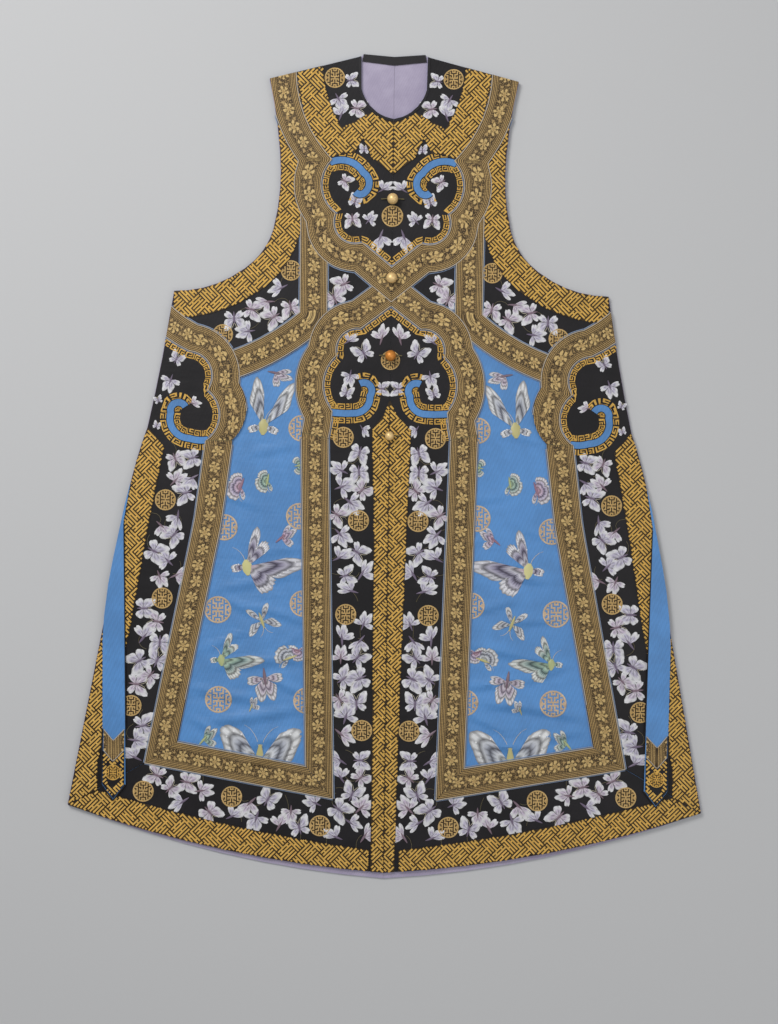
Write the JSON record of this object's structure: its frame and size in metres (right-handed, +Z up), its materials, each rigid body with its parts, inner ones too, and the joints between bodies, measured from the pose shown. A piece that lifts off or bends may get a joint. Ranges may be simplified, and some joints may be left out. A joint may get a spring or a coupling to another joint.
{
  "type": "embroidered waistcoat",
  "caption": "Long sleeveless front-opening silk waistcoat laid flat, with black appliqued borders, gold fret bands, brocade ribbon and knob buttons.",
  "frame": {"origin": "under the middle of the laid-out garment, on the surface it lies on", "axes": "+Z up out of the front, +Y along the body towards the neck, +X towards the wearer's left"},
  "size_m": [1.044, 1.36, 0.0288],
  "materials": {
    "blue_silk": "satin-woven silk, soft sheen, silk embroidery",
    "lining_silk": "plain thin silk",
    "black_satin": "satin with couched silver and gold embroidery",
    "scroll_silk": "satin silk band",
    "binding": "plain satin binding",
    "gold_fret": "gold thread key fret on a black ground",
    "brocade": "woven floral ribbon with striped edges",
    "streamer_silk": "satin silk",
    "brass_button": "polished, lightly worn",
    "amber_button": "warm gilt"
  },
  "bodies": {
    "root": {"back_left": "blue_silk", "back_right": "blue_silk", "back_lining_left": "lining_silk", "back_lining_right": "lining_silk", "front_left": "blue_silk", "front_right": "blue_silk", "yoke_ground_left": "black_satin", "yoke_ground_right": "black_satin", "underarm_ground_left": "black_satin", "underarm_ground_right": "black_satin", "front_ground_left": "black_satin", "front_ground_right": "black_satin", "hem_ground_left": "black_satin", "hem_ground_right": "black_satin", "side_ground_left": "black_satin", "side_ground_right": "black_satin", "collar_scroll_left": "scroll_silk", "collar_scroll_right": "scroll_silk", "centre_scroll_left": "scroll_silk", "centre_scroll_right": "scroll_silk", "side_scroll_left": "scroll_silk", "side_scroll_right": "scroll_silk", "neck_binding_left": "binding", "neck_binding_right": "binding", "armhole_fret_left": "gold_fret", "armhole_fret_right": "gold_fret", "yoke_fret_left": "gold_fret", "yoke_fret_right": "gold_fret", "front_fret_left": "gold_fret", "front_fret_right": "gold_fret", "vent_fret_left": "gold_fret", "vent_fret_right": "gold_fret", "hem_fret_left": "gold_fret", "hem_fret_right": "gold_fret", "collar_ribbon_left": "brocade", "collar_ribbon_right": "brocade", "centre_ribbon_left": "brocade", "centre_ribbon_right": "brocade", "armhole_ribbon_left": "brocade", "armhole_ribbon_right": "brocade", "side_ruyi_ribbon_left": "brocade", "side_ruyi_ribbon_right": "brocade", "front_ribbon_left": "brocade", "front_ribbon_right": "brocade", "hem_ribbon_left": "brocade", "hem_ribbon_right": "brocade", "side_ribbon_left": "brocade", "side_ribbon_right": "brocade", "streamer_left": "streamer_silk", "streamer_right": "streamer_silk", "streamer_chevron_left": "brocade", "streamer_chevron_right": "brocade", "streamer_end_left": "black_satin", "streamer_end_right": "black_satin", "neck_band": "binding", "button_1": "brass_button", "button_2": "brass_button", "button_3": "amber_button", "button_4": "brass_button"}
  },
  "joints": []
}
